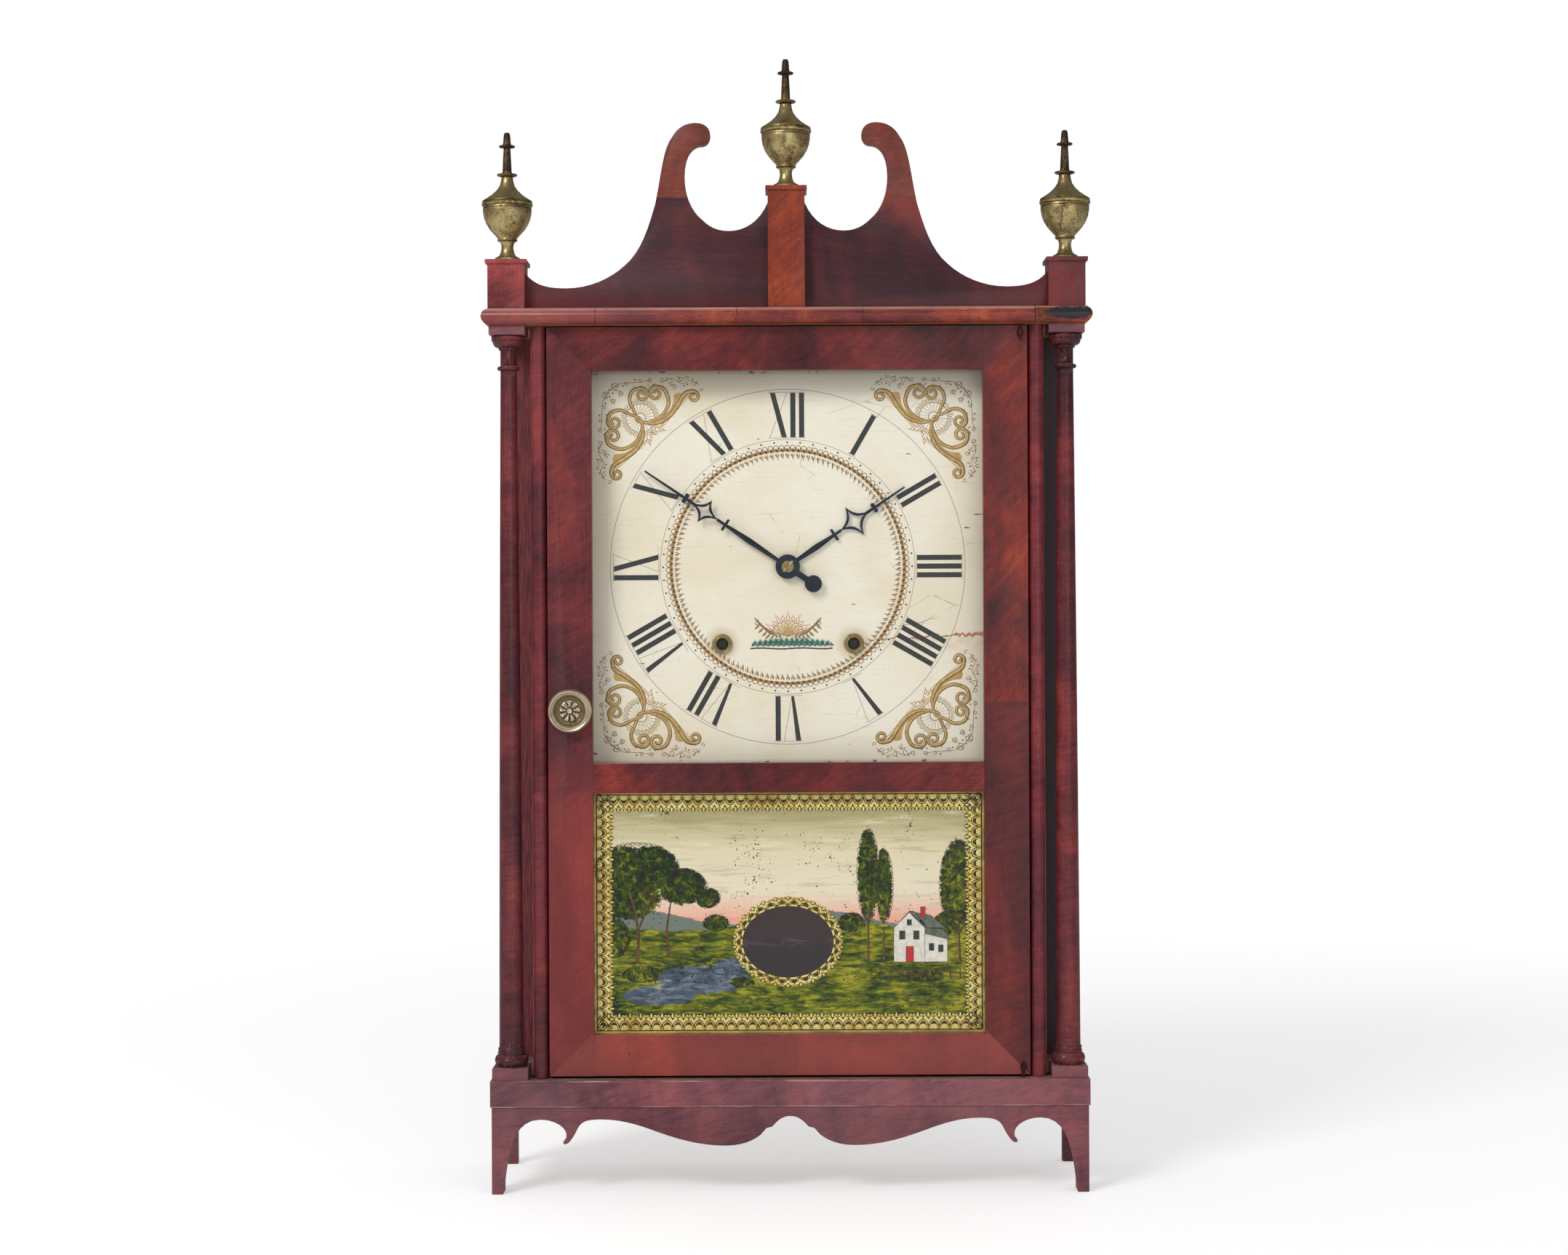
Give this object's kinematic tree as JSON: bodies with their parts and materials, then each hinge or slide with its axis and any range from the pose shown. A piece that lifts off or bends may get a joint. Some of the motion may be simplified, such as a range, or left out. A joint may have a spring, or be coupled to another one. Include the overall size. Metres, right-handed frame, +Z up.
{
  "type": "shelf clock",
  "caption": "Pillar-and-scroll shelf clock with hinged glazed door, painted dial, urn finials, bracket feet and a weight-driven striking wooden movement.",
  "frame": {"origin": "on the shelf, at the middle of the clock's bounding box", "axes": "+Z up, front faces -Y, +X to the viewer's right"},
  "size_m": [0.4312, 0.115, 0.8],
  "materials": {
    "mahogany": "satin",
    "pine": "matt",
    "cherry": "matt",
    "aged_brass": "aged",
    "iron": "matt",
    "blued_steel": "satin",
    "dial_paint": "painted",
    "clear_glass": "clear",
    "tablet_paint": "painted behind",
    "cord": "twisted"
  },
  "bodies": {
    "case": {"base_frame": "mahogany", "base_board": "pine", "front_apron": "mahogany", "side_aprons": "mahogany", "case_sides": "mahogany", "backboard": "pine", "top_board": "pine", "cornice": "mahogany", "columns": "mahogany", "column_blocks": "mahogany", "scroll_board": "mahogany", "crest_plinths": "mahogany", "finials": "aged_brass", "dial_board": "dial_paint", "inner_strips": "pine", "winding_eyelets": "aged_brass", "front_plate": "cherry", "back_plate": "cherry", "plate_pillars": "cherry", "plate_studs": "iron", "bell": "aged_brass", "bell_post": "iron", "pulley_covers": "pine", "hinge_wires": "iron", "time_cord": "cord", "strike_cord": "cord"},
    "door": {"door_stiles": "mahogany", "door_rails": "mahogany", "dial_glass": "clear_glass", "tablet_glass": "tablet_paint", "glazing_strips": "pine", "hinge_eyes": "iron"},
    "knob": {"door_knob": "aged_brass", "latch_hook": "iron"},
    "minute": {"minute_hand": "blued_steel", "centre_arbor": "aged_brass"},
    "hour": {"hour_hand": "blued_steel", "hour_wheel": "cherry"},
    "motion": {"motion_wheel": "cherry"},
    "time_main": {"time_main_wheel": "cherry"},
    "time_winder": {"time_drum": "cherry"},
    "second": {"second_wheel": "cherry"},
    "third": {"third_wheel": "cherry"},
    "escape": {"escape_wheel": "aged_brass"},
    "verge": {"verge": "iron"},
    "pendulum": {"pendulum_rod": "aged_brass", "pendulum_bob": "aged_brass"},
    "time_weight": {"time_weight": "iron"},
    "time_pulley": {"time_pulley": "aged_brass"},
    "strike_main": {"strike_main_wheel": "cherry"},
    "strike_winder": {"strike_drum": "cherry"},
    "pin": {"pin_wheel": "cherry"},
    "warning": {"warning_wheel": "cherry"},
    "fly": {"fly": "aged_brass"},
    "count": {"count_wheel": "cherry"},
    "hammer": {"hammer": "iron"},
    "lever": {"lifting_lever": "iron"},
    "strike_weight": {"strike_weight": "iron"},
    "strike_pulley": {"strike_pulley": "aged_brass"}
  },
  "joints": [
    {"name": "door_swing", "type": "hinge", "parent": "case", "child": "door", "pos_m": [0.1647, -0.0475, 0.0815], "axis": [0, 0, 1], "range_deg": [0, 120]},
    {"name": "knob_turn", "type": "hinge", "parent": "door", "child": "knob", "pos_m": [-0.154, -0.0455, 0.3395], "axis": [0, -1, 0], "range_deg": [0, 90]},
    {"name": "minute_turn", "type": "hinge", "parent": "case", "child": "minute", "pos_m": [0, 0, 0.4407], "axis": [0, -1, 0], "continuous": true},
    {"name": "motion_turn", "type": "hinge", "parent": "case", "child": "motion", "pos_m": [0.02348, 0, 0.44569], "axis": [0, -1, 0], "continuous": true},
    {"name": "hour_turn", "type": "hinge", "parent": "case", "child": "hour", "pos_m": [0, 0, 0.4407], "axis": [0, -1, 0], "continuous": true},
    {"name": "second_turn", "type": "hinge", "parent": "case", "child": "second", "pos_m": [0.04006, 0, 0.42834], "axis": [0, -1, 0], "continuous": true},
    {"name": "third_turn", "type": "hinge", "parent": "case", "child": "third", "pos_m": [0.00804, 0, 0.42335], "axis": [0, -1, 0], "continuous": true},
    {"name": "escape_turn", "type": "hinge", "parent": "case", "child": "escape", "pos_m": [0, 0, 0.3982], "axis": [0, -1, 0], "continuous": true},
    {"name": "time_main_turn", "type": "hinge", "parent": "case", "child": "time_main", "pos_m": [0.047, 0, 0.3857], "axis": [0, -1, 0], "continuous": true},
    {"name": "time_winding", "type": "hinge", "parent": "time_main", "child": "time_winder", "pos_m": [0.047, 0, 0.3857], "axis": [0, 1, 0], "range_deg": [0, 1300]},
    {"name": "pendulum_swing", "type": "hinge", "parent": "case", "child": "pendulum", "pos_m": [0, 0, 0.4232], "axis": [0, -1, 0], "range_deg": [-3, 3]},
    {"name": "verge_rock", "type": "hinge", "parent": "case", "child": "verge", "pos_m": [0, 0, 0.4232], "axis": [0, -1, 0], "range_deg": [-3, 3]},
    {"name": "time_weight_travel", "type": "slide", "parent": "case", "child": "time_weight", "axis": [0, 0, 1], "range_m": [0, 0.33], "deforming": ["time_cord"]},
    {"name": "time_pulley_turn", "type": "hinge", "parent": "case", "child": "time_pulley", "pos_m": [0.121, 0.021, 0.617], "axis": [0, -1, 0], "range_deg": [0, 1450]},
    {"name": "strike_main_turn", "type": "hinge", "parent": "case", "child": "strike_main", "pos_m": [-0.047, 0, 0.3857], "axis": [0, -1, 0], "continuous": true},
    {"name": "strike_winding", "type": "hinge", "parent": "strike_main", "child": "strike_winder", "pos_m": [-0.047, 0, 0.3857], "axis": [0, -1, 0], "range_deg": [0, 1300]},
    {"name": "pin_turn", "type": "hinge", "parent": "case", "child": "pin", "pos_m": [-0.03802, 0, 0.42796], "axis": [0, -1, 0], "continuous": true},
    {"name": "warning_turn", "type": "hinge", "parent": "case", "child": "warning", "pos_m": [-0.0464, 0, 0.45925], "axis": [0, -1, 0], "continuous": true},
    {"name": "fly_turn", "type": "hinge", "parent": "case", "child": "fly", "pos_m": [-0.02723, 0, 0.46623], "axis": [0, -1, 0], "continuous": true},
    {"name": "count_turn", "type": "hinge", "parent": "case", "child": "count", "pos_m": [-0.0219, 0, 0.4108], "axis": [0, -1, 0], "continuous": true},
    {"name": "hammer_swing", "type": "hinge", "parent": "case", "child": "hammer", "pos_m": [-0.076, 0, 0.4227], "axis": [0, 1, 0], "range_deg": [0, 8]},
    {"name": "lever_lift", "type": "hinge", "parent": "case", "child": "lever", "pos_m": [0.04, 0, 0.4727], "axis": [0, 1, 0], "range_deg": [0, 10]},
    {"name": "strike_weight_travel", "type": "slide", "parent": "case", "child": "strike_weight", "axis": [0, 0, 1], "range_m": [0, 0.33], "deforming": ["strike_cord"]},
    {"name": "strike_pulley_turn", "type": "hinge", "parent": "case", "child": "strike_pulley", "pos_m": [-0.121, 0.021, 0.617], "axis": [0, 1, 0], "range_deg": [0, 1450]}
  ],
  "couplings": [
    {"joint": "motion_turn", "follows": "minute_turn", "ratio": -0.33333},
    {"joint": "hour_turn", "follows": "minute_turn", "ratio": 0.083333},
    {"joint": "second_turn", "follows": "minute_turn", "ratio": 1},
    {"joint": "third_turn", "follows": "minute_turn", "ratio": -8},
    {"joint": "escape_turn", "follows": "minute_turn", "ratio": 80},
    {"joint": "time_main_turn", "follows": "minute_turn", "ratio": -0.125},
    {"joint": "verge_rock", "follows": "pendulum_swing", "ratio": 1},
    {"joint": "time_winding", "follows": "time_weight_travel", "rad_per_m": 64.935},
    {"joint": "time_pulley_turn", "follows": "time_weight_travel", "rad_per_m": 71.942},
    {"joint": "strike_main_turn", "follows": "pin_turn", "ratio": -0.125},
    {"joint": "warning_turn", "follows": "pin_turn", "ratio": -8},
    {"joint": "fly_turn", "follows": "pin_turn", "ratio": 60},
    {"joint": "count_turn", "follows": "pin_turn", "ratio": 0.10256},
    {"joint": "strike_winding", "follows": "strike_weight_travel", "rad_per_m": 64.935},
    {"joint": "strike_pulley_turn", "follows": "strike_weight_travel", "rad_per_m": 71.942}
  ]
}
